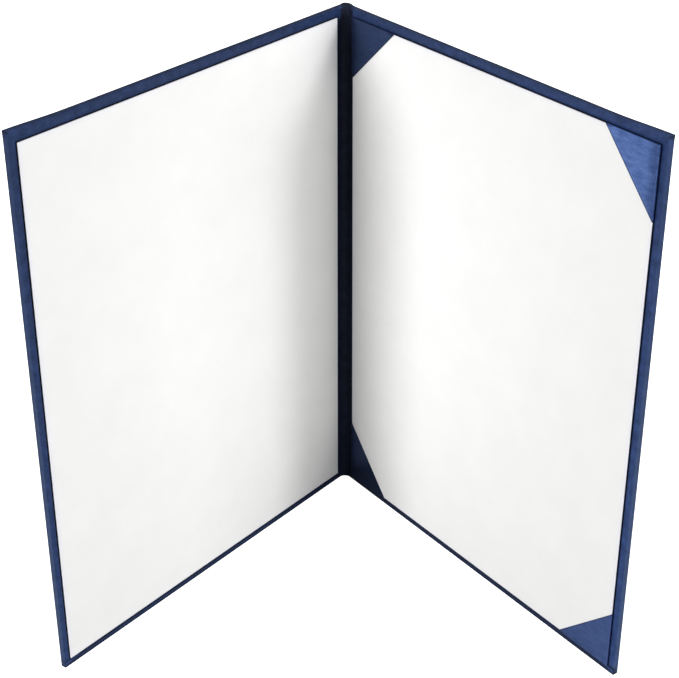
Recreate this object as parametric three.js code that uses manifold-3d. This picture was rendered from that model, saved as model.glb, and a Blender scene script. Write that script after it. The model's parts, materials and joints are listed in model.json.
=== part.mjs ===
// Diploma cover: two boards wrapped in leatherette, joined by a soft spine, standing half open.
// The front cover has a plain white lining. The back cover has a white panel with four
// satin corner pockets that hold a certificate.
// Units are millimetres. Z is up, the spine is vertical and the covers open towards -Y.

import * as THREE from 'three';
import { mergeVertices } from 'three/addons/utils/BufferGeometryUtils.js';
import Module from 'manifold-3d';

const wasm = await Module();
wasm.setup();

// Driving dimensions of the covers
const coverHeight = 292.1;
const coverWidth = 222.7;
const boardThickness = 2.2;
const leatheretteThickness = 0.45;
const glueLine = 0.1;
const coverCornerRadius = 1;
const coverEdgeRadius = 0.7;
const turnInWidth = 15;
const lapSlope = THREE.MathUtils.degToRad(14);
const lapGap = 0.25;

// Driving dimensions of the spine
const openAngle = THREE.MathUtils.degToRad(75.5);
const spineHalfGap = 3.6;
const spineFillet = 3.8;
const spineSeam = 0.3;
const spineHeadRise = 0.5;
const linerLap = 12;
const linerEndGap = 0.3;
const closingClearance = 0.15;

// Driving dimensions of the white panels
const borderOuter = 4.1;
const borderSpine = 2.4;
const borderHead = 4.75;
const liningThickness = 0.9;
const panelThickness = 0.8;
const panelCornerRadius = 0.4;
const panelEdgeRadius = 0.3;

// Driving dimensions of the satin corner pockets
const satinThickness = 0.25;
const pocketSlack = 0.15;
const pocketReturn = 12;
const topSpineAcross = 34.4;
const topSpineUp = 32.4;
const topOuterAcross = 31.2;
const topOuterUp = 34.8;
const bottomOuterAcross = 34.3;
const bottomOuterUp = 32.2;
const bottomSpineAcross = 32.5;
const bottomSpineUp = 37;

// Sizes that follow. A depth is measured from a cover's inner leatherette face, outward.
const coverThickness = 2 * (leatheretteThickness + glueLine) + boardThickness;
const edgeRadius = Math.min(coverEdgeRadius, 0.45 * coverThickness);
const boardInset = leatheretteThickness + glueLine;
const outerEdge = spineHalfGap + coverWidth;
const panelBed = 2 * glueLine + satinThickness;
const panelFace = panelBed + panelThickness;
const pocketFace = panelFace + pocketSlack + satinThickness;
const liningFace = glueLine + liningThickness;
const axisRise = (liningFace + pocketFace + closingClearance) / 2;
const halfAngle = openAngle / 2;
const arcSteps = 3;
const spineSteps = 7;
const spare = 2;

// The four pockets, each with its legs along the panel's short and long side
const pockets = [
  { name: 'corner_ribbon_top_spine', outer: false, top: true, across: topSpineAcross, up: topSpineUp },
  { name: 'corner_ribbon_top_outer', outer: true, top: true, across: topOuterAcross, up: topOuterUp },
  {
    name: 'corner_ribbon_bottom_outer', outer: true, top: false, across: bottomOuterAcross, up: bottomOuterUp,
  },
  {
    name: 'corner_ribbon_bottom_spine', outer: false, top: false, across: bottomSpineAcross, up: bottomSpineUp,
  },
];

// Materials
const finish = (color, roughness) => new THREE.MeshStandardMaterial({ color, roughness, metalness: 0 });
const leatherette = () => finish(0x36476f, 0.5);
const satin = () => finish(0x4c61a2, 0.35);
const whiteStock = () => finish(0xe8e8e7, 0.6);
const greyBoard = () => finish(0x9a948a, 0.9);

// Joining and cutting closed meshes
function toSolid(geometry) {
  const bare = geometry.clone();
  bare.deleteAttribute('normal');
  bare.deleteAttribute('uv');
  const merged = mergeVertices(bare, 1e-4);
  return new wasm.Manifold(new wasm.Mesh({
    numProp: 3,
    vertProperties: new Float32Array(merged.attributes.position.array),
    triVerts: new Uint32Array(merged.index.array),
  }));
}

function toGeometry(solid) {
  const { vertProperties, triVerts } = solid.getMesh();
  const geometry = new THREE.BufferGeometry();
  geometry.setAttribute('position', new THREE.BufferAttribute(vertProperties, 3));
  geometry.setIndex(new THREE.BufferAttribute(triVerts, 1));
  geometry.computeVertexNormals();
  return geometry;
}

function mesh(name, geometry, material) {
  const made = new THREE.Mesh(geometry, material);
  made.name = name;
  return made;
}

// Flat outlines in a cover's own plane: x runs from the spine to the outer edge, y is height
function outline(points) {
  return new THREE.Shape(points.map(([x, y]) => new THREE.Vector2(x, y)));
}

function panelOutline(x0, x1, y0, y1, outerRadius, spineRadius) {
  const shape = new THREE.Shape();
  shape.moveTo(x0 + spineRadius, y0);
  shape.lineTo(x1 - outerRadius, y0);
  shape.absarc(x1 - outerRadius, y0 + outerRadius, outerRadius, -Math.PI / 2, 0);
  shape.absarc(x1 - outerRadius, y1 - outerRadius, outerRadius, 0, Math.PI / 2);
  shape.lineTo(x0 + spineRadius, y1);
  if (spineRadius > 0) {
    shape.absarc(x0 + spineRadius, y1 - spineRadius, spineRadius, Math.PI / 2, Math.PI);
    shape.absarc(x0 + spineRadius, y0 + spineRadius, spineRadius, Math.PI, 1.5 * Math.PI);
  }
  return shape;
}

// A sheet of that outline between two depths. side is +1 where outward is +Y in the cover's frame.
function slab(side, shape, depthFrom, depthTo, edge = 0) {
  const geometry = new THREE.ExtrudeGeometry(shape, {
    depth: depthTo - depthFrom - 2 * edge,
    curveSegments: 2 * arcSteps,
    bevelEnabled: edge > 0,
    bevelThickness: edge,
    bevelSize: edge,
    bevelOffset: -edge,
    bevelSegments: arcSteps,
  });
  geometry.translate(0, 0, edge);
  geometry.rotateX(Math.PI / 2);
  geometry.translate(0, side > 0 ? axisRise + depthTo : -(axisRise + depthFrom), 0);
  return geometry;
}

function box(side, x0, x1, y0, y1, depthFrom, depthTo) {
  return toSolid(slab(side, outline([[x0, y0], [x1, y0], [x1, y1], [x0, y1]]), depthFrom, depthTo));
}

// The radius of a cover's outer corner at an inset from its edge
function cornerInside(inset) {
  return Math.max(coverCornerRadius - inset, glueLine);
}

// The grey board inside a cover
function makeBoard(name, side) {
  const shape = panelOutline(
    spineHalfGap, outerEdge - boardInset, boardInset, coverHeight - boardInset,
    cornerInside(boardInset), 0,
  );
  return mesh(name, slab(side, shape, boardInset, coverThickness - boardInset), greyBoard());
}

// The open edge of the side turn-in where it laps the head or tail turn-in at an outer corner
function lapCut(side, atHead) {
  const inner = outerEdge - turnInWidth;
  const slope = Math.tan(lapSlope);
  const edge = [
    [outerEdge + spare, -spare * slope],
    [inner - lapGap, turnInWidth * slope],
    [inner - lapGap, turnInWidth + lapGap],
    [inner, turnInWidth + lapGap],
    [inner, turnInWidth * slope + lapGap],
    [outerEdge + spare, lapGap - spare * slope],
  ].map(([x, inward]) => [x, atHead ? coverHeight - inward : inward]);
  return toSolid(slab(side, outline(edge), -spare, leatheretteThickness + glueLine / 2));
}

// The leatherette round one board: outer face, rounded edges and turned-in borders
function makeCoverWrap(name, side) {
  const shape = panelOutline(
    spineHalfGap - spare, outerEdge, 0, coverHeight, coverCornerRadius, 0,
  );
  const wrap = toSolid(slab(side, shape, 0, coverThickness, edgeRadius));
  const skin = leatheretteThickness;
  const hollow = panelOutline(
    spineHalfGap - spare, outerEdge - skin, skin, coverHeight - skin, cornerInside(skin), 0,
  );
  const cuts = [
    box(side, spineHalfGap - 2 * spare, spineHalfGap, -spare, coverHeight + spare, -spare,
      coverThickness + spare),
    toSolid(slab(side, hollow, skin, coverThickness - skin)),
    box(side, spineHalfGap - spare, outerEdge - turnInWidth, turnInWidth,
      coverHeight - turnInWidth, -spare, boardInset),
    lapCut(side, true),
    lapCut(side, false),
  ];
  const solid = cuts.reduce((left, cut) => left.subtract(cut), wrap);
  return mesh(name, toGeometry(solid), leatherette());
}

// The white sheets inside the covers
function whiteOutline() {
  return panelOutline(
    spineHalfGap + borderSpine, outerEdge - borderOuter, borderHead, coverHeight - borderHead,
    panelCornerRadius, panelCornerRadius,
  );
}

function makeLining(name, side) {
  return mesh(name, slab(side, whiteOutline(), -liningFace, -glueLine, panelEdgeRadius), whiteStock());
}

function makeDocumentPanel(name, side) {
  return mesh(name, slab(side, whiteOutline(), -panelFace, -panelBed, panelEdgeRadius), whiteStock());
}

// A satin pocket folded round one corner of the document panel, with returns glued behind it
function makePocket(side, { name, outer, top, across, up }) {
  const cornerX = outer ? outerEdge - borderOuter : spineHalfGap + borderSpine;
  const cornerY = top ? coverHeight - borderHead : borderHead;
  const inX = outer ? -1 : 1;
  const inY = top ? -1 : 1;
  const place = (points) => outline(points.map(([x, y]) => [cornerX + inX * x, cornerY + inY * y]));
  const wall = pocketSlack + satinThickness;
  const back = glueLine + satinThickness;
  const far = across + up;
  const body = toSolid(slab(side, place([
    [-wall, -wall],
    [across * (1 + wall / up), -wall],
    [-wall, up * (1 + wall / across)],
  ]), -pocketFace, -glueLine));
  const inside = toSolid(slab(side, place([
    [-pocketSlack, -pocketSlack],
    [far, -pocketSlack],
    [far, far],
    [-pocketSlack, far],
  ]), -panelFace - pocketSlack, -back));
  const behind = toSolid(slab(side, place([
    [pocketReturn, pocketReturn],
    [far, pocketReturn],
    [far, far],
    [pocketReturn, far],
  ]), -back - pocketSlack, spare));
  return mesh(name, toGeometry(body.subtract(inside).subtract(behind)), satin());
}

// A point of the spine's plan, given along and outward from the hinge axis on the back cover
const along = new THREE.Vector2(Math.sin(halfAngle), -Math.cos(halfAngle));
const outward = new THREE.Vector2(Math.cos(halfAngle), Math.sin(halfAngle));

function coverPoint(distance, depth) {
  return along.clone().multiplyScalar(distance).addScaledVector(outward, axisRise + depth);
}

const apex = new THREE.Vector2(0, axisRise / Math.sin(halfAngle));
const apexAlong = -axisRise / Math.tan(halfAngle);
const spineEnd = spineHalfGap - spineSeam;
const innerRadius = Math.min(spineFillet, (spineEnd - apexAlong) * Math.tan(halfAngle));
const filletCentre = new THREE.Vector2(0, (axisRise - innerRadius) / Math.sin(halfAngle));
const filletStart = apexAlong + innerRadius / Math.tan(halfAngle);

function onArc(centre, radius, angle) {
  return new THREE.Vector2(Math.cos(angle), Math.sin(angle)).multiplyScalar(radius).add(centre);
}

// Inner and outer point of the folded leatherette, from the back cover's end to mid spine
function spineStation(share) {
  const turn = Math.PI / 2 - halfAngle;
  const inner = onArc(filletCentre, innerRadius, halfAngle + share * turn);
  const straight = filletStart - apexAlong;
  const travel = share * (straight + coverThickness * turn);
  const outer = travel < straight
    ? coverPoint(filletStart - travel, coverThickness)
    : onArc(apex, coverThickness, halfAngle + (travel - straight) / coverThickness);
  return { inner, outer, rise: spineHeadRise * Math.sin((share * Math.PI) / 2) ** 2 };
}

function spineStations() {
  const half = [{ inner: coverPoint(spineEnd, 0), outer: coverPoint(spineEnd, coverThickness), rise: 0 }];
  for (let step = 0; step <= spineSteps; step += 1) {
    half.push(spineStation(step / spineSteps));
  }
  const flip = (point) => new THREE.Vector2(-point.x, point.y);
  const other = half.slice(0, -1).reverse().map(({ inner, outer, rise }) => (
    { inner: flip(inner), outer: flip(outer), rise }
  ));
  return [...half, ...other];
}

// Section of the turned leatherette at the spine: x is height, y is depth
function turnedSection() {
  const skin = leatheretteThickness;
  const deep = coverThickness;
  const r = edgeRadius;
  const shape = new THREE.Shape();
  shape.moveTo(turnInWidth, skin);
  shape.lineTo(skin, skin);
  shape.lineTo(skin, deep - skin);
  shape.lineTo(coverHeight - skin, deep - skin);
  shape.lineTo(coverHeight - skin, skin);
  shape.lineTo(coverHeight - turnInWidth, skin);
  shape.lineTo(coverHeight - turnInWidth, 0);
  shape.absarc(coverHeight - r, r, r, -Math.PI / 2, 0);
  shape.absarc(coverHeight - r, deep - r, r, 0, Math.PI / 2);
  shape.absarc(r, deep - r, r, Math.PI / 2, Math.PI);
  shape.absarc(r, r, r, Math.PI, 1.5 * Math.PI);
  shape.lineTo(turnInWidth, 0);
  return shape.extractPoints(arcSteps).shape.slice(0, -1);
}

// The section carried round the spine, keeping the skin's thickness at both faces
function makeSpineWrap(name) {
  const section = turnedSection();
  const stations = spineStations();
  const positions = [];
  for (const { inner, outer, rise } of stations) {
    const through = outer.clone().sub(inner).normalize();
    for (const { x: height, y: depth } of section) {
      const fromInner = depth < coverThickness / 2;
      const base = fromInner ? inner : outer;
      const at = base.clone().addScaledVector(through, fromInner ? depth : depth - coverThickness);
      positions.push(at.x, at.y, height + (height > coverHeight / 2 ? rise : 0));
    }
  }
  const count = section.length;
  const faces = [];
  for (let row = 0; row < stations.length - 1; row += 1) {
    for (let point = 0; point < count; point += 1) {
      const a = row * count + point;
      const b = row * count + ((point + 1) % count);
      faces.push(a, b, a + count, b, b + count, a + count);
    }
  }
  const last = (stations.length - 1) * count;
  for (const [a, b, c] of THREE.ShapeUtils.triangulateShape(section, [])) {
    faces.push(a, c, b);
    faces.push(last + a, last + b, last + c);
  }
  const geometry = new THREE.BufferGeometry();
  geometry.setAttribute('position', new THREE.Float32BufferAttribute(positions, 3));
  geometry.setIndex(faces);
  geometry.computeVertexNormals();
  return mesh(name, geometry, leatherette());
}

// The strip that lines the spine inside, in the window between the head and tail turn-ins
function makeSpineLiner(name) {
  const skin = leatheretteThickness;
  const end = spineHalfGap + linerLap;
  const shape = new THREE.Shape();
  const under = coverPoint(end, skin);
  const face = coverPoint(end, 0);
  shape.moveTo(face.x, face.y);
  shape.lineTo(under.x, under.y);
  shape.absarc(filletCentre.x, filletCentre.y, innerRadius + skin, halfAngle, Math.PI - halfAngle);
  shape.lineTo(-under.x, under.y);
  shape.lineTo(-face.x, face.y);
  shape.absarc(filletCentre.x, filletCentre.y, innerRadius, Math.PI - halfAngle, halfAngle, true);
  const geometry = new THREE.ExtrudeGeometry(shape, {
    depth: coverHeight - 2 * (turnInWidth + linerEndGap),
    curveSegments: 2 * spineSteps,
    bevelEnabled: false,
  });
  geometry.translate(0, 0, turnInWidth + linerEndGap);
  return mesh(name, geometry, leatherette());
}

// Assembly about the hinge axis
const backCover = new THREE.Group();
backCover.rotation.z = halfAngle - Math.PI / 2;
backCover.add(
  makeBoard('back_board', 1),
  makeCoverWrap('back_cover_wrap', 1),
  makeDocumentPanel('document_panel', 1),
  ...pockets.map((pocket) => makePocket(1, pocket)),
);

const frontCover = new THREE.Group();
frontCover.rotation.z = -halfAngle - Math.PI / 2;
frontCover.add(
  makeBoard('front_board', -1),
  makeCoverWrap('front_cover_wrap', -1),
  makeLining('front_lining', -1),
);

const cover = new THREE.Group();
cover.add(backCover, frontCover, makeSpineWrap('spine_wrap'), makeSpineLiner('spine_liner'));

// The origin is under the middle of the standing cover's box
const extent = new THREE.Box3().setFromObject(cover, true);
cover.position.y = -(extent.min.y + extent.max.y) / 2;

const diplomaCover = new THREE.Group();
diplomaCover.add(cover);
export default diplomaCover;
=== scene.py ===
import json
import math

import bmesh
import bpy
from mathutils import Matrix, Vector, noise


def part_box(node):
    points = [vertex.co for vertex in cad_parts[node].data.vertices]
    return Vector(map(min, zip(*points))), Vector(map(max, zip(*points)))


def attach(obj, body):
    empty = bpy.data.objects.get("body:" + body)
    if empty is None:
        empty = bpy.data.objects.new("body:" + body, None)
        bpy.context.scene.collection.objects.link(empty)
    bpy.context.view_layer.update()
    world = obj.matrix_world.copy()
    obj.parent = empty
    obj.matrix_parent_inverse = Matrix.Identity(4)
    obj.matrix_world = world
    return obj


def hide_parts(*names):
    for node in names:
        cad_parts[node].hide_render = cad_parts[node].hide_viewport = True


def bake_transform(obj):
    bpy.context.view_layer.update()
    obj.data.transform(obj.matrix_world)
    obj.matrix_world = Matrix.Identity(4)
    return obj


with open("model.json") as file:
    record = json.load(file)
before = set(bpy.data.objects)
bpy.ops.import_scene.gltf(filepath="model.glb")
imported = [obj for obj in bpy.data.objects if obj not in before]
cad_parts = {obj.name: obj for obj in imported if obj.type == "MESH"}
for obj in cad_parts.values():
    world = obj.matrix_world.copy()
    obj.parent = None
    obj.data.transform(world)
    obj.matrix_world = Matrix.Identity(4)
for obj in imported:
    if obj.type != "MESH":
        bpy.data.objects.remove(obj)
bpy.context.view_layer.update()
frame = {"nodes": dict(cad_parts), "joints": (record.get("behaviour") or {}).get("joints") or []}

MM = 0.001

# Sizes read from the frame
HINGE = frame["joints"][0]
AXIS = Vector(HINGE["pos_m"])
HALF_ANGLE = math.radians(HINGE["range_deg"][1]) / 2
BACK, FRONT = 1, -1
BODY = {BACK: "back_cover", FRONT: "front_cover"}


def along(side):
    return Vector((side * math.sin(HALF_ANGLE), -math.cos(HALF_ANGLE), 0))


def outward(side):
    return Vector((side * math.cos(HALF_ANGLE), math.sin(HALF_ANGLE), 0))


def extent(node, side):
    """Lowest and highest (distance from the hinge, distance outward, height) of a CAD node in its cover's frame."""
    points = []
    for vertex in frame["nodes"][node].data.vertices:
        offset = vertex.co - AXIS
        points.append((offset.dot(along(side)), offset.dot(outward(side)), vertex.co.z))
    rows = list(zip(*points))
    return Vector([min(row) for row in rows]), Vector([max(row) for row in rows])


WRAP_LOW, WRAP_HIGH = extent("back_cover_wrap", BACK)
SPINE_HALF = WRAP_LOW.x
EDGE = WRAP_HIGH.x
RISE = WRAP_LOW.y
THICK = WRAP_HIGH.y - WRAP_LOW.y
HEIGHT = WRAP_HIGH.z
HEAD_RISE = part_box("spine_wrap")[1].z - HEIGHT
LINER_LOW, LINER_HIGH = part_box("spine_liner")
CARD_LOW, CARD_HIGH = extent("front_lining", FRONT)

# Sizes of the leatherette and its folds
SKIN = 0.45 * MM
EDGE_RADIUS = 0.75 * MM
CORNER_RADIUS = 0.4 * MM
TURN_IN = 15 * MM
SPINE_FILLET = 3.8 * MM
FACE_INSET = 8 * MM
EDGE_WAVE = 0.10 * MM
TAIL_SQUEEZE = 0.15
HEAD_SQUEEZE = 0.45
# The rounded edges' lighter colour is partly wear and partly painted highlight. It fades up the sides, and at the head
# only the back cover has a little of it
WEAR_AND_LIGHT_FADE = 0.6
WEAR_AND_LIGHT_AT_HEAD = {FRONT: 0, BACK: 0.25}
FLARE = 0.9 * MM
FLARE_REACH = 34 * MM
GROOVE_DEPTH = 0.34 * MM
FILLED_GROOVE = 0.85
GROOVE_WIDTH = {FRONT: 0.75, BACK: 0.6}
LAP_START = 0.8 * MM
LAP_SLOPE = 0.23
LAP_LENGTH = 12 * MM
LAP_STEP = 0.16 * MM

# Sizes of the strip that lines the spine. Its darker navy is painted shade of the spine fold, and its tongue at the
# head reaches further on the back cover's side, where that shade falls
STRIP_INSET = 0.6 * MM
STRIP_PROUD = 0.08 * MM
STRIP_TONGUE = {FRONT: 2.1 * MM, BACK: 4.9 * MM}
STRIP_FOOT = 6.4 * MM

# The white cards were cut and laid by hand. (outward, up) shifts of their corners from the CAD's, in mm
CARD_SHIFTS = {
    (FRONT, "outer", "head"): (-0.6, -0.6), (FRONT, "outer", "tail"): (0.5, -0.1),
    (FRONT, "spine", "head"): (-0.42, -0.1), (FRONT, "spine", "tail"): (0.15, 0),
    (BACK, "outer", "head"): (-0.1, 0.35), (BACK, "outer", "tail"): (-0.15, -0.05),
    (BACK, "spine", "head"): (0.5, 0.25), (BACK, "spine", "tail"): (0.7, 0),
}


def smooth(value, low, high):
    share = min(max((value - low) / (high - low), 0), 1)
    return share * share * (3 - 2 * share)


# Where a point of the flat, unfolded sheet lies. s runs across both covers, from the hinge outward.
APEX = Vector((0, RISE / math.sin(HALF_ANGLE), 0))
APEX_ALONG = -RISE / math.tan(HALF_ANGLE)
FILLET_CENTRE = Vector((0, (RISE - SPINE_FILLET) / math.sin(HALF_ANGLE), 0))
FILLET_START = APEX_ALONG + SPINE_FILLET / math.tan(HALF_ANGLE)


def cover_point(side, s, depth):
    return AXIS + along(side) * s + outward(side) * (RISE + depth)


def arc_point(side, centre, radius, angle):
    return AXIS + centre + Vector((side * math.cos(angle), math.sin(angle), 0)) * radius


def spine_faces(side, share):
    """Inner and outer point of the folded spine, from a board's end at share 0 to mid spine at 1."""
    turn = math.pi / 2 - HALF_ANGLE
    inner = arc_point(side, FILLET_CENTRE, SPINE_FILLET, HALF_ANGLE + share * turn)
    straight = FILLET_START - APEX_ALONG
    travel = share * (straight + THICK * turn)
    if travel < straight:
        outer = cover_point(side, FILLET_START - travel, THICK)
    else:
        outer = arc_point(side, APEX, THICK, HALF_ANGLE + (travel - straight) / THICK)
    return inner, outer


def sheet_point(s, z, depth):
    side = BACK if s >= 0 else FRONT
    if abs(s) >= SPINE_HALF:
        place = cover_point(side, abs(s), depth)
        return Vector((place.x, place.y, z))
    reach = abs(s) / SPINE_HALF
    if reach > FILLET_START / SPINE_HALF:
        place = cover_point(side, abs(s), depth)
        return Vector((place.x, place.y, z))
    share = 1 - reach * SPINE_HALF / FILLET_START
    inner, outer = spine_faces(side, share)
    through = (outer - inner).normalized()
    place = inner + through * depth if depth < THICK / 2 else outer + through * (depth - THICK)
    bulge = smooth(place.x, -2.4 * MM, -0.9 * MM) * (1 - smooth(place.x, 3.2 * MM, 4.8 * MM))
    return Vector((place.x, place.y, z + (HEAD_RISE * bulge if z > HEIGHT / 2 else 0)))


# Mesh helpers
def clamp(value, low, high):
    return min(max(value, low), high)


def card_shift(side, s, z):
    """How far a card's point lies from where the CAD has it, as (outward, up)."""
    outer = clamp((s - CARD_LOW.x) / (CARD_HIGH.x - CARD_LOW.x), 0, 1)
    head = clamp((z - CARD_LOW.z) / (CARD_HIGH.z - CARD_LOW.z), 0, 1)
    shift = Vector((0, 0))
    for edge, across in (("outer", outer), ("spine", 1 - outer)):
        for end, up in (("head", head), ("tail", 1 - head)):
            shift += Vector(CARD_SHIFTS[side, edge, end]) * across * up
    return shift * MM


def spread(low, high, count):
    return [low + (high - low) * step / count for step in range(count + 1)]


def loop_points(low, high, radius, columns, rows, inset, arc_steps=6):
    """The points of a rounded rectangle's edge at an inset: tail, right, head and left, with their corners."""
    keep = max(inset, radius)
    bend = max(radius - inset, 0)
    left, right = low[0] + keep, high[0] - keep
    tail, head = low[1] + keep, high[1] - keep

    def corner(x, z, start):
        turns = [start + math.pi / 2 * step / arc_steps for step in range(arc_steps + 1)]
        return [(x + bend * math.cos(t), z + bend * math.sin(t)) for t in turns]

    points = [(clamp(s, left, right), low[1] + inset) for s in columns]
    points += corner(right, tail, -math.pi / 2)
    points += [(high[0] - inset, clamp(z, tail, head)) for z in rows]
    points += corner(right, head, 0)
    points += [(clamp(s, left, right), high[1] - inset) for s in reversed(columns)]
    points += corner(left, head, math.pi / 2)
    points += [(low[0] + inset, clamp(z, tail, head)) for z in reversed(rows)]
    points += corner(left, tail, math.pi)
    return points


def arc_profile(centre_inset, centre_depth, radius, start, end, steps):
    """Points of a quarter round, as (inset, depth). Angle 0 points inwards and pi/2 to greater depth."""
    turns = [start + (end - start) * step / steps for step in range(steps + 1)]
    return [(centre_inset + radius * math.cos(t), centre_depth + radius * math.sin(t)) for t in turns]


def new_object(name, bm):
    mesh = bpy.data.meshes.new(name)
    bm.to_mesh(mesh)
    bm.free()
    for polygon in mesh.polygons:
        polygon.use_smooth = True
    made = bpy.data.objects.new(name, mesh)
    bpy.context.scene.collection.objects.link(made)
    return made


class Surface:
    """Collects points given in flat coordinates, and keeps those coordinates, the wear and painted light, and the
    painted shade for the materials.
    """

    def __init__(self, place):
        self.bm = bmesh.new()
        self.place = place
        self.flat = self.bm.verts.layers.float_vector.new("flat")
        self.wear_and_painted_light = self.bm.verts.layers.float.new("wear_and_painted_light")
        self.painted_shade = self.bm.verts.layers.float.new("painted_shade")

    def point(self, s, z, depth, wear_and_painted_light=0.0, painted_shade=0.0):
        """The two shares run from 0 to 1. The materials turn the first into their edge colour, for rubbed wear and
        painted light, and the second into painted shade.
        """
        vertex = self.bm.verts.new(self.place(s, z, depth))
        vertex[self.flat] = Vector((s, z, depth)) / MM
        vertex[self.wear_and_painted_light] = wear_and_painted_light
        vertex[self.painted_shade] = painted_shade
        return vertex

    def face(self, *vertices):
        self.bm.faces.new(vertices)

    def strip(self, first, second, closed=True):
        count = len(first)
        for at in range(count if closed else count - 1):
            after = (at + 1) % count
            self.face(first[at], first[after], second[after], second[at])

    def grid(self, columns, rows, depth, flip=False, wear_and_painted_light=0.0):
        made = [[self.point(s, z, depth, wear_and_painted_light) for s in columns] for z in rows]
        for low, high in zip(made, made[1:]):
            for at in range(len(low) - 1):
                corners = (low[at], low[at + 1], high[at + 1], high[at])
                self.face(*(reversed(corners) if flip else corners))

    def finish(self, name):
        bmesh.ops.remove_doubles(self.bm, verts=self.bm.verts, dist=0.004 * MM)
        bmesh.ops.dissolve_degenerate(self.bm, edges=self.bm.edges, dist=0.002 * MM)
        bmesh.ops.recalc_face_normals(self.bm, faces=self.bm.faces)
        return new_object(name, self.bm)


# The leatherette sheet that wraps both boards and the spine
def edge_wave(s, z):
    return EDGE_WAVE * noise.noise(Vector((s, z, 3.7)) / (28 * MM))


def outside_profile():
    """(inset from the sheet's outline, depth) from the middle of the outer face to the inner border."""
    r = EDGE_RADIUS
    points = [(FACE_INSET, THICK), (5 * MM, THICK), (3 * MM, THICK), (1.6 * MM, THICK)]
    points += arc_profile(r, THICK - r, r, math.pi / 2, math.pi, 6)
    points += arc_profile(r, r, r, math.pi, 1.5 * math.pi, 6)
    border = [(1.1, 0.02), (1.5, 0.06), (1.9, 0.05), (2.3, 0.02), (2.7, 0)]
    return points + [(inset * MM, depth * MM) for inset, depth in border]


def groove_profile():
    """(distance outside the white card's outline, share of the groove's depth and of its painted shade)."""
    points = [(0.8, 0), (0.68, 0.25), (0.56, 0.8), (0.45, 1), (0.05, 1), (-0.3, 0.7), (-1, 0)]
    return [(distance * MM, share) for distance, share in points]


def inside_profile():
    """(inset, depth) along the hidden face, from the turn-in's end back to the middle of the outer face."""
    r, inner = EDGE_RADIUS, EDGE_RADIUS - SKIN
    points = [(TURN_IN, 0), (TURN_IN, SKIN), (6 * MM, SKIN), (2 * MM, SKIN)]
    points += arc_profile(r, r, inner, 1.5 * math.pi, math.pi, 3)
    points += arc_profile(r, THICK - r, inner, math.pi, math.pi / 2, 3)
    return points + [(3 * MM, THICK - SKIN), (FACE_INSET, THICK - SKIN)]


def sheet_columns():
    cover = spread(SPINE_HALF, 20 * MM, 6) + spread(26 * MM, EDGE - 16 * MM, 26)
    cover += spread(EDGE - 14 * MM, EDGE, 10)
    spine = spread(0, SPINE_HALF, 12)
    half = sorted(set(cover + spine))
    return [-s for s in reversed(half[1:])] + half


def sheet_rows():
    ends = spread(0, 14 * MM, 8)
    return ends + spread(20 * MM, HEIGHT - 20 * MM, 34) + [HEIGHT - z for z in reversed(ends)]


def edge_depth(inset):
    """How far the rounded edge has fallen away from the inner face, at an inset from the outline."""
    if inset >= EDGE_RADIUS:
        return 0
    return EDGE_RADIUS - math.sqrt(max(EDGE_RADIUS ** 2 - (EDGE_RADIUS - inset) ** 2, 0))


def add_lap(surface, side, at_head):
    """The end of the side turn-in, which laps over the head or tail turn-in at an outer corner."""
    offsets = [(-0.05, -0.3), (0, 0.4), (0.05, 0.9), (0.2, 1), (0.6, 0.75), (1.1, 0.3), (1.7, -0.3)]
    room = CARD_LOW.z - 1.1 * MM
    top, under = [], []
    for across in spread(0.15 * MM, LAP_LENGTH, 20):
        line = LAP_START + LAP_SLOPE * across + 0.12 * MM * noise.noise(Vector((across / MM / 2, side, at_head)))
        reach = clamp((room - line) / offsets[-1][0], 0.05 * MM, MM)
        upper, lower = [], []
        for offset, share in offsets:
            inset = line + offset * reach
            s = side * (EDGE - across)
            z = HEIGHT - inset if at_head else inset
            z += head_flare(s, z)
            base = edge_depth(min(across, inset))
            # Painted shade along the lap's edge
            painted_shade = 0.4 if offset <= 0 else 0
            upper.append(surface.point(s, z, base - LAP_STEP * share * smooth(across, 0, 1 * MM), 0, painted_shade))
            lower.append(surface.point(s, z, base + 0.15 * MM))
        top.append(upper)
        under.append(lower)
    for layer in (top, under):
        for low, high in zip(layer, layer[1:]):
            surface.strip(low, high, closed=False)
    for first, second in ((top[0], under[0]), (top[-1], under[-1])):
        surface.strip(first, second, closed=False)
    for at in (0, -1):
        surface.strip([row[at] for row in top], [row[at] for row in under], closed=False)


def corner_tip_shade(s, z, inset):
    """Painted shade, darkest at the tips of the outer corners."""
    reach = math.hypot(EDGE - abs(s), min(z, HEIGHT - z))
    return 0.95 * (1 - smooth(reach, 0.3 * MM, 1.3 * MM)) * smooth(2 * MM - inset, 0, MM)


def tail_border_shade(s, z, depth):
    """Painted shade on the border under the cards: a painted shadow along the card's tail edge, painted shade on the
    rounded foot the cover stands on, and the whole tail border darker, more so on the back cover.
    """
    if z > 4.5 * MM or depth > THICK / 2:
        return 0
    foot = 0.85 * (1 - smooth(z, 0.8 * MM, 1.5 * MM))
    return max(foot, 0.42 if s < 0 else 0.7, 0.85 * smooth(z, 2.0 * MM, 2.5 * MM) * smooth(EDGE - abs(s), 3 * MM, 4 * MM))


def head_fold_shade(place, z, depth):
    """Painted shade along the head: dark across the spine's fold, darkest in its two tucks, and darker towards the back
    of the whole head edge.
    """
    if z < HEIGHT - 1.5 * MM or depth > THICK - 0.2 * MM:
        return 0
    tucks = max(math.exp(-((place.x - middle * MM) / (0.6 * MM)) ** 2) for middle in (-0.7, 3.0))
    fold = smooth(place.x, -2.2 * MM, -0.8 * MM) * (1 - smooth(place.x, 3.2 * MM, 4.4 * MM))
    edge_shade = 0.35 * smooth(depth, 0.5 * MM, 1.6 * MM)
    return max(0.95 * tucks * smooth(depth, THICK / 3, THICK / 2), 0.75 * fold, edge_shade)


def head_flare(s, z):
    """The bulk of the turned-in corners lifts the head edge towards the outer corners."""
    near_corner = 1 - smooth(EDGE - abs(s), 0, FLARE_REACH)
    return FLARE * near_corner * smooth(z, HEIGHT - 4 * MM, HEIGHT)


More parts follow.
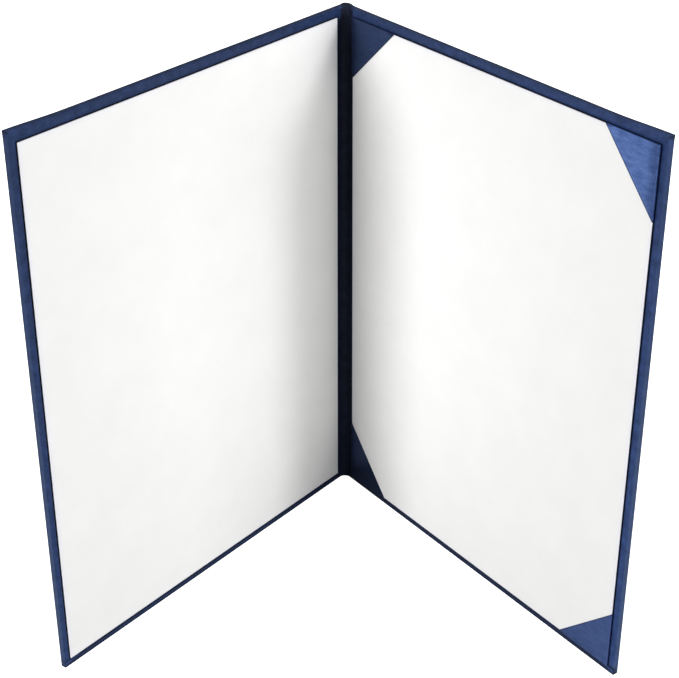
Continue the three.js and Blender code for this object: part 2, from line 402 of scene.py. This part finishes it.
def squeeze(z, inset, depth):
    """The edges are sharper where the cover stands on them and at the back of the head. Gives (inset, depth)."""
    if inset >= EDGE_RADIUS:
        return inset, depth
    if z < HEIGHT / 2 and depth < THICK / 2:
        keep = 1 - (1 - TAIL_SQUEEZE) * (1 - smooth(z - inset, 0, 2 * MM))
        return inset * keep, depth * keep
    if z > HEIGHT / 2 and depth > THICK / 2:
        keep = 1 - (1 - HEAD_SQUEEZE) * (1 - smooth(HEIGHT - z - inset, 0, 2 * MM))
        return inset * keep, THICK - (THICK - depth) * keep
    return inset, depth


def groove_share(s, z):
    """How much of the groove round a card, and of its painted shade, is left. It ends at the spine, and one pocket's
    bulk fills it.
    """
    open_share = smooth(abs(s), 5 * MM, 7 * MM)
    filled = smooth(z, HEIGHT - 12 * MM, HEIGHT - 7 * MM) * (1 - smooth(s, 33 * MM, 39 * MM)) if s > 0 else 0
    return open_share * (1 - FILLED_GROOVE * filled)


def make_wrap():
    surface = Surface(sheet_point)
    low, high = (-EDGE, 0), (EDGE, HEIGHT)
    card_low, card_high = (-CARD_HIGH.x, CARD_LOW.z), (CARD_HIGH.x, CARD_HIGH.z)
    columns, rows = sheet_columns(), sheet_rows()
    rings = []

    def ring(points, depth_at, wear_and_painted_light=0.0, shade_at=None):
        made = []
        for s, z in points:
            depth = depth_at(s, z)
            painted_shade = shade_at(s, z) if shade_at else 0
            # Painted shade on the tail border and at the head of the spine
            painted_shade = max(painted_shade, tail_border_shade(s, z, depth), head_fold_shade(sheet_point(s, z, depth), z, depth))
            # Wear and painted highlight on the edges, fading towards the head
            wear_and_light_here = wear_and_painted_light * (1 - WEAR_AND_LIGHT_FADE * smooth(z, 150 * MM, 215 * MM))
            if z > HEIGHT - 2 * MM:
                wear_and_light_here = wear_and_painted_light * WEAR_AND_LIGHT_AT_HEAD[BACK if s >= 0 else FRONT]
            made.append(surface.point(s, z, depth, wear_and_light_here, painted_shade))
        if rings:
            surface.strip(rings[-1], made)
        rings.append(made)

    def rounded(inset, depth=None):
        points = loop_points(low, high, CORNER_RADIUS, columns, rows, inset)
        keep = smooth(6 * MM - inset, 0, 6 * MM)
        made = []
        for s, z in points:
            lift = head_flare(s, z)
            sharp = 0
            if depth is not None and min(z, HEIGHT - z) < inset + MM:
                sharp = squeeze(z, inset, depth)[0] - inset
            if z > HEIGHT / 2:
                z = min(z + edge_wave(s, z) * keep - sharp, HEIGHT) + lift
            else:
                z = max(z + sharp, 0)
            made.append((s, z))
        return made

    for inset, depth in outside_profile():
        # Wear and painted highlight on the rounded outer edge
        edge_wear_and_light = smooth(EDGE_RADIUS * 0.8 - inset, 0, EDGE_RADIUS * 0.8)
        ring(rounded(inset, depth), lambda s, z: squeeze(z, inset, depth)[1], edge_wear_and_light,
             lambda s, z: corner_tip_shade(s, z, inset))
    for distance, share in groove_profile():
        loops = {side: loop_points(card_low, card_high, 0, columns, rows, -distance * GROOVE_WIDTH[side])
                 for side in (FRONT, BACK)}
        points = []
        for at, (s, z) in enumerate(loops[FRONT]):
            side = BACK if s >= 0 else FRONT
            s, z = loops[side][at]
            shift = card_shift(side, abs(s), z) * smooth(abs(s), 5 * MM, 7 * MM)
            points.append((s + side * shift.x, z + shift.y))
        # The groove round each card, darkened with painted shade
        ring(points, lambda s, z: GROOVE_DEPTH * share * groove_share(s, z), 0,
             lambda s, z: share ** 0.5 * groove_share(s, z))
    for inset, depth in inside_profile():
        ring(rounded(inset), lambda s, z: depth)
    inner = sorted({clamp(s, low[0] + FACE_INSET, high[0] - FACE_INSET) for s in columns})
    up = sorted({clamp(z, FACE_INSET, HEIGHT - FACE_INSET) for z in rows})
    surface.grid(inner, up, THICK)
    surface.grid(inner, up, THICK - SKIN, flip=True)
    for side in (FRONT, BACK):
        for at_head in (False, True):
            add_lap(surface, side, at_head)
    return surface.finish("leatherette_wrap")


# The strip that lines the spine, and the white panels
def strip_half_width(side, z, full):
    """Half the strip's width: full under the cards, and a rounded tongue beyond them at the head and tail."""
    beyond = min(z, HEIGHT - z)
    narrow = STRIP_TONGUE[side] if z > HEIGHT / 2 else STRIP_FOOT
    tongue = CARD_LOW.z + 1 * MM
    if beyond >= tongue:
        return narrow + (full - narrow) * smooth(beyond, tongue, tongue + 4 * MM)
    share = clamp((tongue - beyond) / (tongue - STRIP_INSET), 0, 1)
    return max(narrow * math.sqrt(1 - share ** 8), 0.02 * MM)


def strip_relief(s, z):
    """Fine creases that run up the fold, deepest left of its middle."""
    fold = math.exp(-((s + 1.5 * MM) / (0.22 * MM)) ** 2) * (0.6 + 0.4 * noise.noise(Vector((0, z, 0)) / (9 * MM)))
    fine = noise.noise(Vector((s / (0.5 * MM), z / (30 * MM), 0.4)))
    return 0.12 * MM * fold - 0.035 * MM * fine * smooth(6 * MM - abs(s), 0, 2 * MM)


def make_liner():
    surface = Surface(sheet_point)
    full = (LINER_HIGH.x - (RISE + SKIN) * math.cos(HALF_ANGLE)) / math.sin(HALF_ANGLE)
    ends = [STRIP_INSET + value * MM for value in (0, 0.03, 0.12, 0.3, 0.6, 1, 1.5, 2.2, 3, 4, 5.5, 7.5, 10)]
    rows = ends + spread(15 * MM, HEIGHT - 15 * MM, 60) + [HEIGHT - z for z in reversed(ends)]
    shares = [share / 40 for share in range(-40, 41)]
    layers = []
    for under in (False, True):
        layer = []
        for z in rows:
            row = []
            for share in shares:
                width = strip_half_width(BACK if share >= 0 else FRONT, z, full)
                s = width * share
                rim = 1 - smooth(width - abs(s), 0, 0.35 * MM)
                depth = 0.06 * MM if under else -STRIP_PROUD * (1 - rim) + strip_relief(s, z) * (1 - rim)
                row.append(surface.point(s, z, depth))
            layer.append(row)
        layers.append(layer)
    top, bottom = layers
    for layer in layers:
        for low, high in zip(layer, layer[1:]):
            surface.strip(low, high, closed=False)
    surface.strip(top[0], bottom[0], closed=False)
    surface.strip(top[-1], bottom[-1], closed=False)
    for at in (0, -1):
        surface.strip([row[at] for row in top], [row[at] for row in bottom], closed=False)
    return surface.finish("spine_liner_strip")


def make_panel(name, node, side):
    low, high = extent(node, side)
    near, far = low.y - RISE, high.y - RISE

    def place(s, z, depth):
        shift = card_shift(side, s, z)
        spot = cover_point(side, s + shift.x, depth)
        return Vector((spot.x, spot.y, z + shift.y))

    surface = Surface(place)
    columns = spread(low.x, high.x, 24)
    rows = spread(low.z, high.z, 32)
    corner, inset_end = 0.35 * MM, 2.5 * MM
    r, under = 0.3 * MM, 0.3 * MM
    profile = [(inset_end, far), (under, far), (under * 0.4, far - under * 0.5), (0, far - under * 1.2)]
    profile += arc_profile(r, near + r, r, math.pi, 1.5 * math.pi, 5)
    profile += [(0.8 * MM, near), (inset_end, near)]
    previous = None
    for inset, depth in profile:
        # A bluish-grey painted shade on the card's rounded rim. The share at its back edge is painted shade too, which
        # the white card's material does not read
        edge_wear_and_light = smooth(1.2 * MM - inset, 0, 0.8 * MM)
        loop = loop_points((low.x, low.z), (high.x, high.z), corner, columns, rows, inset, 6)
        ring = [surface.point(s, z, depth, edge_wear_and_light, smooth(depth, far - 0.4 * MM, far)) for s, z in loop]
        if previous:
            surface.strip(previous, ring)
        previous = ring
    inner = sorted({clamp(s, low.x + inset_end, high.x - inset_end) for s in columns})
    up = sorted({clamp(z, low.z + inset_end, high.z - inset_end) for z in rows})
    surface.grid(inner, up, far)
    surface.grid(inner, up, near, flip=True)
    return surface.finish(name)


# The satin pockets
# The first number scales each ribbon's whole colour: painted light and shade, darkest on the two ribbons by the spine.
# dip is how deep the painted shade beside its fold at the cover's side is, hem the same at its open edge,
# rim how strong the painted highlight on its folds is, wall how deep the painted shade on their sides is, and wrinkle
# how deep its creases are
POCKETS = {"corner_ribbon_top_spine": {"painted_brightness": 0.31, "dip": 0.12, "hem": 0.3, "rim": 2.5, "wall": 0, "wrinkle": 0.35},
           "corner_ribbon_top_outer": {"painted_brightness": 1.12, "dip": 0.42, "hem": 0.95, "rim": 0.1, "wall": 0.9, "wrinkle": 1},
           "corner_ribbon_bottom_outer": {"painted_brightness": 0.9, "dip": 0, "hem": 0.5, "rim": 0.6, "wall": 0.9, "wrinkle": 0.3},
           "corner_ribbon_bottom_spine": {"painted_brightness": 0.27, "dip": 0, "hem": 0.5, "rim": 0.2, "wall": 0.9, "wrinkle": 0.3}}
SATIN = 0.2 * MM
SATIN_ROUND = 0.35 * MM
BEAD = 0.55 * MM
BEAD_RISE = 0.1 * MM
CURL = 0.22 * MM
CURL_REACH = 2.6 * MM
PUFF = 0.08 * MM
RETURN = 11.5 * MM


def selvedge(distance):
    """Height of a ribbon's face beside its open edge: a small bead, then a curl that rises to the flat ribbon."""
    bead = math.exp(-((distance - BEAD / 2) / (BEAD / 2.5)) ** 2)
    return BEAD_RISE * bead - CURL * (1 - smooth(distance, 0, CURL_REACH))


def make_pocket(node, dip, hem, rim, dark_wall):
    side = BACK
    low, high = extent(node, side)
    panel_low, panel_high = extent("document_panel", side)
    outer = "outer" in node
    top = "top" in node
    across = high.x - low.x
    up = high.z - low.z
    in_s = -1 if outer else 1
    in_z = -1 if top else 1
    shift = card_shift(side, high.x if outer else low.x, high.z if top else low.z)
    corner_s = (high.x if outer else low.x) + shift.x
    corner_z = (high.z if top else low.z) + shift.y
    keep_line = 1 - in_s * shift.x / across - in_z * shift.y / up
    across, up = across * keep_line, up * keep_line
    face = low.y - RISE
    back = high.y - RISE
    span = math.hypot(across, up)
    reach = across * up / span

    def place(p, q, depth):
        spot = cover_point(side, corner_s + in_s * p, depth)
        return Vector((spot.x, spot.y, corner_z + in_z * q))

    def distance(p, q):
        return reach * (1 - p / across - q / up)

    # Painted shade beside the fold at the cover's side, and along the open edge
    def shade(p, edge):
        folded = dip * (1 - smooth(p, 1.2 * MM, 7 * MM))
        return max(folded, hem * (1 - smooth(edge, 0.25 * MM, 0.75 * MM)))

    surface = Surface(place)
    r = SATIN_ROUND
    steps = [0, 0.05, 0.12, 0.25, 0.5, 0.8, 1.05, 1.2, 1.3, 1.4, 1.55, 1.8, 2.4, 3.2]
    steps = [value * MM for value in steps] + spread(4.2 * MM, reach, 18)
    shares = [1 - value / reach for value in steps]
    low_line = [r + (across - r) * share for share in shares]
    high_line = [r + (up - r) * share for share in shares]
    profile = [(RETURN, back), (RETURN / 2, back), (0.6 * MM, back), (0.15 * MM, back - 0.1 * MM)]
    profile += [(0, back - 0.4 * MM)]
    profile += arc_profile(r, face + r, r, math.pi, 1.5 * math.pi, 6)
    turns = spread(0, math.pi / 2, 5)
    previous = None
    for inset, depth in profile:
        ring = []
        bend = max(r - inset, 0)
        keep = max(inset, r)
        for p in low_line:
            ring.append((max(p, keep), inset))
        for turn in turns:
            ring.append((keep - bend * math.sin(turn), keep - bend * math.cos(turn)))
        for q in reversed(high_line):
            ring.append((inset, max(q, keep)))
        points = []
        for p, q in ring:
            edge = max(distance(p, q), 0)
            outwards = selvedge(edge) if inset < r * 1.01 else 0
            # Painted highlight on the folded rims, and painted shade on the folds' sides
            edge_wear_and_light = rim * smooth(r * 1.4 - inset, 0, r)
            wall = smooth(depth, face + r, face + 2 * r)
            points.append(surface.point(p, q, depth - outwards, edge_wear_and_light * (1 - wall * min(dark_wall, 1)),
                                        max(shade(p, edge), dark_wall * wall)))
        if previous:
            surface.strip(previous, points, closed=False)
        previous = points
    count = 28
    previous = None
    for value, p, q in zip(steps, low_line, high_line):
        row = []
        for at in range(count + 1):
            share = at / count
            spot_p = p + (r - p) * share
            spot_q = r + (q - r) * share
            near_edge = min(spot_p, spot_q)
            puff = PUFF * smooth(near_edge, r, 9 * MM) * (0.4 + 0.6 * smooth(value, 0, 9 * MM))
            ripple = 0.04 * MM * noise.noise(Vector((spot_p, spot_q * 0.7, 1.3)) / (5 * MM))
            ripple *= smooth(near_edge, r, 3 * MM)
            row.append(surface.point(spot_p, spot_q, face - puff - ripple - selvedge(value), 0,
                                     shade(spot_p, value)))
        if previous:
            surface.strip(previous, row, closed=False)
        previous = row
    bm = surface.bm
    bmesh.ops.remove_doubles(bm, verts=bm.verts, dist=0.004 * MM)
    bmesh.ops.dissolve_degenerate(bm, edges=bm.edges, dist=0.002 * MM)
    bmesh.ops.recalc_face_normals(bm, faces=bm.faces)
    front = min(bm.faces, key=lambda item: item.calc_center_median().dot(outward(side)))
    if front.normal.dot(outward(side)) > 0:
        bmesh.ops.reverse_faces(bm, faces=bm.faces)
    made = new_object(node + "_satin", bm)
    thick = made.modifiers.new("thickness", "SOLIDIFY")
    thick.thickness = SATIN
    thick.offset = -1
    settle(made)
    return made


def settle(made):
    """Makes an object's modifiers part of its mesh."""
    bpy.context.view_layer.update()
    shaped = made.evaluated_get(bpy.context.evaluated_depsgraph_get())
    mesh = bpy.data.meshes.new_from_object(shaped)
    made.modifiers.clear()
    made.data = mesh


# Materials
def material(name):
    made = bpy.data.materials.new(name)
    made.use_nodes = True
    nodes = made.node_tree.nodes
    return made, nodes, made.node_tree.links, nodes["Principled BSDF"]


def flat_coordinates(nodes):
    """Coordinates on the unfolded sheet in millimetres, so that grain stays put as the cover moves."""
    source = nodes.new("ShaderNodeAttribute")
    source.attribute_name = "flat"
    return source.outputs["Vector"]


def noise_node(nodes, links, vector, scale, detail=2.0, roughness=0.5):
    made = nodes.new("ShaderNodeTexNoise")
    made.inputs["Scale"].default_value = scale
    made.inputs["Detail"].default_value = detail
    made.inputs["Roughness"].default_value = roughness
    links.new(vector, made.inputs["Vector"])
    return made.outputs["Fac"]


def ramp(nodes, links, value, stops):
    made = nodes.new("ShaderNodeValToRGB")
    elements = made.color_ramp.elements
    while len(elements) < len(stops):
        elements.new(0.5)
    for element, (position, color) in zip(elements, stops):
        element.position = position
        element.color = (*color, 1)
    links.new(value, made.inputs["Fac"])
    return made.outputs["Color"]


def mix_color(nodes, links, factor, first, second, blend="MIX"):
    made = nodes.new("ShaderNodeMix")
    made.data_type = "RGBA"
    made.blend_type = blend
    for socket, value in (("Factor", factor), ("A", first), ("B", second)):
        index = {"Factor": 0, "A": 6, "B": 7}[socket]
        if hasattr(value, "links"):
            links.new(value, made.inputs[index])
        else:
            made.inputs[index].default_value = value if socket == "Factor" else (*value, 1)
    return made.outputs[2]


def map_range(nodes, links, value, low, high):
    made = nodes.new("ShaderNodeMapRange")
    made.inputs["To Min"].default_value = low
    made.inputs["To Max"].default_value = high
    links.new(value, made.inputs["Value"])
    return made.outputs["Result"]


def bump(nodes, links, height, strength, distance, before=None):
    made = nodes.new("ShaderNodeBump")
    made.inputs["Strength"].default_value = strength
    made.inputs["Distance"].default_value = distance
    links.new(height, made.inputs["Height"])
    if before is not None:
        links.new(before, made.inputs["Normal"])
    return made.outputs["Normal"]


# Colour of the painted shade
PAINTED_SHADE_COLOR = (0.0055, 0.007, 0.012)
# The navy's mottled tones, and its lighter edge colour for wear and painted highlight
NAVY = {"dark": (0.0125, 0.029, 0.087), "middle": (0.020, 0.041, 0.122), "light": (0.0285, 0.054, 0.160),
        "edge_wear_and_light": (0.052, 0.077, 0.133)}
# A darker copy of the navy for the strip in the spine fold: painted shade
NAVY_IN_SHADE = {"dark": (0.0086, 0.0108, 0.0255), "middle": (0.0115, 0.0148, 0.0340),
              "light": (0.0152, 0.0182, 0.0420), "edge_wear_and_light": (0.025, 0.029, 0.049)}
# Painted light and shade along the sheet, as (share of the way from edge to edge, tone)
SHADING_ACROSS = [(0, 0.84), (0.4, 0.76), (0.58, 0.9), (1, 1.14)]
SHADING_UP = [(0, 1.16), (0.35, 1.06), (0.7, 0.95), (0.95, 0.82), (0.985, 0.9)]


def attribute(nodes, name):
    source = nodes.new("ShaderNodeAttribute")
    source.attribute_name = name
    return source.outputs["Fac"]


def multiply(nodes, links, first, second):
    made = nodes.new("ShaderNodeMath")
    made.operation = "MULTIPLY"
    for socket, value in zip(made.inputs, (first, second)):
        if hasattr(value, "links"):
            links.new(value, socket)
        else:
            socket.default_value = value
    return made.outputs[0]


def grey(nodes, links, value):
    made = nodes.new("ShaderNodeCombineColor")
    for socket in ("Red", "Green", "Blue"):
        links.new(value, made.inputs[socket])
    return made.outputs["Color"]


def painted_shading(nodes, links, flat):
    """Painted light and shade over the sheet: darker on the front cover than on the back, and darkest round the spine
    and the head.
    """
    parts = nodes.new("ShaderNodeSeparateXYZ")
    links.new(flat, parts.inputs[0])
    shares = []
    for axis, low, high, tones in (("X", -EDGE, EDGE, SHADING_ACROSS), ("Y", 0, HEIGHT, SHADING_UP)):
        scaled = nodes.new("ShaderNodeMapRange")
        scaled.inputs["From Min"].default_value = low / MM
        scaled.inputs["From Max"].default_value = high / MM
        links.new(parts.outputs[axis], scaled.inputs["Value"])
        stops = [(at, (tone, tone, tone)) for at, tone in tones]
        shares.append(ramp(nodes, links, scaled.outputs["Result"], stops))
    return mix_color(nodes, links, 1.0, *shares, "MULTIPLY")


def leatherette(name, tones, gloss):
    made, nodes, links, shader = material(name)
    flat = flat_coordinates(nodes)
    patches = noise_node(nodes, links, flat, 0.2, 4.0, 0.62)
    stops = [(0.32, tones["dark"]), (0.5, tones["middle"]), (0.68, tones["light"])]
    color = ramp(nodes, links, patches, stops)
    # Painted light and shade over the sheet
    color = mix_color(nodes, links, 1.0, color, painted_shading(nodes, links, flat), "MULTIPLY")
    cells = nodes.new("ShaderNodeTexVoronoi")
    cells.feature = "SMOOTH_F1"
    cells.inputs["Scale"].default_value = 1.5
    cells.inputs["Smoothness"].default_value = 0.6
    links.new(flat, cells.inputs["Vector"])
    grain = cells.outputs["Distance"]
    color = mix_color(nodes, links, 1.0, color, grey(nodes, links, map_range(nodes, links, grain, 0.82, 1.12)),
                      "MULTIPLY")
    tint_patches = noise_node(nodes, links, flat, 0.5, 4.0, 0.7)
    # Wear and painted highlight on the edges, in patches
    color = mix_color(nodes, links, multiply(nodes, links, attribute(nodes, "wear_and_painted_light"), tint_patches), color, tones["edge_wear_and_light"])
    # Painted shade in the grooves, folds, corner tips and tail border
    painted_shade = attribute(nodes, "painted_shade")
    color = mix_color(nodes, links, painted_shade, color, PAINTED_SHADE_COLOR)
    links.new(color, shader.inputs["Base Color"])
    add = nodes.new("ShaderNodeMath")
    add.operation = "ADD"
    add.use_clamp = True
    links.new(map_range(nodes, links, patches, 0.46, 0.6), add.inputs[0])
    links.new(multiply(nodes, links, painted_shade, 0.4), add.inputs[1])
    links.new(add.outputs[0], shader.inputs["Roughness"])
    fine = noise_node(nodes, links, flat, 4.0, 3.0, 0.6)
    ripple = bump(nodes, links, grain, 0.5, 0.06 * MM)
    links.new(bump(nodes, links, fine, 0.35, 0.03 * MM, ripple), shader.inputs["Normal"])
    shader.inputs["Specular IOR Level"].default_value = gloss
    return made


# Colour of the painted shade on the cards' rounded rims
CARD_RIM = (0.70, 0.70, 0.80)


def white_card():
    made, nodes, links, shader = material("white_lining")
    flat = flat_coordinates(nodes)
    cloud = noise_node(nodes, links, flat, 0.04, 3.0, 0.6)
    color = ramp(nodes, links, cloud, [(0.3, (0.800, 0.798, 0.792)), (0.7, (0.825, 0.823, 0.818))])
    # Painted shade on the rounded rim
    color = mix_color(nodes, links, multiply(nodes, links, attribute(nodes, "wear_and_painted_light"), 0.5), color, CARD_RIM)
    links.new(color, shader.inputs["Base Color"])
    fibre = noise_node(nodes, links, flat, 3.0, 4.0, 0.7)
    links.new(bump(nodes, links, fibre, 0.15, 0.02 * MM), shader.inputs["Normal"])
    links.new(map_range(nodes, links, fibre, 0.55, 0.7), shader.inputs["Roughness"])
    shader.inputs["Specular IOR Level"].default_value = 0.3
    return made


# The satin's mottled tones, then the colours of the painted highlight on its folds and of the painted shade at its
# edges and on its folds' sides
SATIN_DARK = (0.052, 0.106, 0.290)
SATIN_LIGHT = (0.121, 0.197, 0.478)
SATIN_HIGHLIGHT = (0.150, 0.200, 0.500)
SATIN_SHADE = (0.004, 0.013, 0.060)


def satin(name, painted_brightness, wrinkle):
    made, nodes, links, shader = material(name)
    flat = flat_coordinates(nodes)
    stretch = nodes.new("ShaderNodeMapping")
    stretch.inputs["Rotation"].default_value = (0, 0, math.radians(-30))
    stretch.inputs["Scale"].default_value = (0.7, 1.7, 1)
    links.new(flat, stretch.inputs["Vector"])
    mottle = noise_node(nodes, links, stretch.outputs["Vector"], 0.22, 5.0, 0.7)
    spread_out = 0.18 / (0.3 + 0.7 * wrinkle)
    color = ramp(nodes, links, mottle, [(0.5 - spread_out, SATIN_DARK), (0.5 + spread_out, SATIN_LIGHT)])
    slub = noise_node(nodes, links, flat, 2.2, 3.0, 0.6)
    color = mix_color(nodes, links, 1.0, color, grey(nodes, links, map_range(nodes, links, slub, 0.8, 1.2)),
                      "MULTIPLY")
    # Painted highlight on the folds
    color = mix_color(nodes, links, attribute(nodes, "wear_and_painted_light"), color, SATIN_HIGHLIGHT)
    # Painted shade beside the side fold, at the open edge and on the folds' sides
    color = mix_color(nodes, links, attribute(nodes, "painted_shade"), color, SATIN_SHADE)
    # Each ribbon's own painted light and shade
    color = mix_color(nodes, links, 1.0, color, (painted_brightness, painted_brightness, painted_brightness), "MULTIPLY")
    links.new(color, shader.inputs["Base Color"])
    turn = nodes.new("ShaderNodeMapping")
    turn.inputs["Rotation"].default_value = (0, 0, math.radians(45))
    links.new(flat, turn.inputs["Vector"])
    threads = nodes.new("ShaderNodeTexWave")
    threads.inputs["Scale"].default_value = 1.1
    threads.inputs["Distortion"].default_value = 1.2
    threads.inputs["Detail"].default_value = 2.0
    links.new(turn.outputs["Vector"], threads.inputs["Vector"])
    woven = bump(nodes, links, threads.outputs["Fac"], 0.15, 0.02 * MM)
    crinkle = bump(nodes, links, mottle, 0.9 * wrinkle, 0.5 * MM, woven)
    links.new(bump(nodes, links, slub, 0.35, 0.04 * MM, crinkle), shader.inputs["Normal"])
    links.new(map_range(nodes, links, mottle, 0.28, 0.42), shader.inputs["Roughness"])
    shader.inputs["Metallic"].default_value = 0.85
    shader.inputs["Specular IOR Level"].default_value = 0.1
    return made


def grey_board():
    made, nodes, links, shader = material("grey_board")
    place = nodes.new("ShaderNodeTexCoord").outputs["Object"]
    specks = noise_node(nodes, links, place, 900, 4.0, 0.7)
    color = ramp(nodes, links, specks, [(0.35, (0.24, 0.225, 0.2)), (0.65, (0.38, 0.36, 0.33))])
    links.new(color, shader.inputs["Base Color"])
    links.new(bump(nodes, links, specks, 0.3, 0.05 * MM), shader.inputs["Normal"])
    shader.inputs["Roughness"].default_value = 0.9
    return made


def dress(piece, finish):
    piece.data.materials.clear()
    piece.data.materials.append(finish)
    return piece


# Camera, fitted to the photo's edges
CAMERA_FROM_AXIS = Vector((15.21, -806.11, 545.54)) * MM
CAMERA_YAW = math.radians(-1.304)
CAMERA_PITCH = math.radians(29.205)
CAMERA_ROLL = math.radians(0.118)
CAMERA_LENS = 84.72
PHOTO_WIDTH, PHOTO_HEIGHT = 679, 678


def make_camera():
    forward = Vector((math.sin(CAMERA_YAW) * math.cos(CAMERA_PITCH),
                      math.cos(CAMERA_YAW) * math.cos(CAMERA_PITCH), -math.sin(CAMERA_PITCH)))
    level = Vector((math.cos(CAMERA_YAW), -math.sin(CAMERA_YAW), 0))
    down = forward.cross(level)
    right = level * math.cos(CAMERA_ROLL) + down * math.sin(CAMERA_ROLL)
    up = right.cross(forward)
    data = bpy.data.cameras.new("camera")
    data.lens = CAMERA_LENS
    data.sensor_width = 36
    data.clip_start = 0.01
    camera = bpy.data.objects.new("camera", data)
    turned = Matrix((right, up, -forward)).transposed().to_4x4()
    camera.matrix_world = Matrix.Translation(AXIS + CAMERA_FROM_AXIS) @ turned
    bpy.context.scene.collection.objects.link(camera)
    bpy.context.scene.camera = camera


# Stage and light
FLOOR_GLOW = 1.0
TABLE_TONE = 0.02
TABLE_SHINE = 0.9
# (azimuth, elevation, diameter in metres, power) of the lights, fitted to the shading of the white cards
SOFTBOXES = [(-47, 15, 1.6, 202), (51, 18, 0.8, 88), (62, 12, 1.6, 45), (40, 15, 2.4, 80)]


def area_light(name, azimuth, elevation, distance, size, energy):
    """A softbox that looks at the middle of the cover. Azimuth 0 is in front and 90 to the right."""
    data = bpy.data.lights.new(name, "AREA")
    data.shape = "DISK"
    data.size = size
    data.energy = energy
    light = bpy.data.objects.new(name, data)
    turn, rise = math.radians(azimuth), math.radians(elevation)
    aim = Vector((0, 0, HEIGHT / 2))
    away = Vector((math.sin(turn) * math.cos(rise), -math.cos(turn) * math.cos(rise), math.sin(rise)))
    light.location = aim + away * distance
    light.rotation_mode = "QUATERNION"
    light.rotation_quaternion = (-away).to_track_quat("-Z", "Y")
    bpy.context.scene.collection.objects.link(light)


def stage_plane(name, height, tone, seen_by, size=12):
    """A large sheet of paper that only the named kinds of light ray meet."""
    bpy.ops.mesh.primitive_plane_add(size=size, location=(0, 0, height))
    made = bpy.context.active_object
    made.name = name
    made.visible_camera = "camera" in seen_by
    made.visible_diffuse = "diffuse" in seen_by
    made.visible_glossy = "glossy" in seen_by
    made.visible_shadow = False
    paint, nodes, links, shader = material(name + "_paper")
    place = nodes.new("ShaderNodeTexCoord").outputs["Object"]
    cloud = noise_node(nodes, links, place, 3.0)
    stops = [(0.3, (tone, tone, tone)), (0.7, (tone * 1.05, tone * 1.05, tone * 1.05))]
    links.new(ramp(nodes, links, cloud, stops), shader.inputs["Base Color"])
    shader.inputs["Roughness"].default_value = 0.9
    made.data.materials.append(paint)
    return shader


def make_stage():
    """A cut-out photograph: the picture shows plain white round a cover that stood on a darker table."""
    shader = stage_plane("floor", 0, 0.9, ("camera",), size=60)
    shader.inputs["Emission Color"].default_value = (1, 1, 1, 1)
    shader.inputs["Emission Strength"].default_value = FLOOR_GLOW
    stage_plane("table", -0.05 * MM, TABLE_TONE, ("diffuse",))
    stage_plane("table_shine", -0.10 * MM, TABLE_SHINE, ("glossy",))
    world = bpy.data.worlds.new("studio")
    world.use_nodes = True
    background = world.node_tree.nodes["Background"]
    background.inputs["Color"].default_value = (1, 1, 1, 1)
    background.inputs["Strength"].default_value = 0.405
    bpy.context.scene.world = world
    bpy.context.scene.view_settings.view_transform = "Standard"
    for at, (azimuth, elevation, size, energy) in enumerate(SOFTBOXES):
        area_light(f"softbox_{at + 1}", azimuth, elevation, 5, size, energy)


# Build everything
make_camera()
make_stage()

navy = leatherette("navy_leatherette", NAVY, 0.16)
# The spine strip's darker navy is painted shade
shaded_navy = leatherette("navy_leatherette_in_shade", NAVY_IN_SHADE, 0.1)
card = white_card()
board = grey_board()

wrap = dress(make_wrap(), navy)
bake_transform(wrap)
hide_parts("back_cover_wrap", "front_cover_wrap", "spine_wrap")

liner = dress(make_liner(), shaded_navy)
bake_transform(liner)
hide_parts("spine_liner")

for panel_name, panel_node, panel_side in (("front_lining_card", "front_lining", FRONT),
                                           ("document_panel_card", "document_panel", BACK)):
    panel = dress(make_panel(panel_name, panel_node, panel_side), card)
    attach(panel, BODY[panel_side])
    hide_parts(panel_node)

for pocket_node, look in POCKETS.items():
    ribbon = satin(pocket_node.replace("corner_ribbon", "blue_satin"), look["painted_brightness"], look["wrinkle"])
    made_pocket = make_pocket(pocket_node, look["dip"], look["hem"], look["rim"], look["wall"])
    pocket = dress(made_pocket, ribbon)
    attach(pocket, "back_cover")
    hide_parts(pocket_node)

for board_node in ("back_board", "front_board"):
    core = frame["nodes"][board_node]
    core.data.materials.clear()
    core.data.materials.append(board)
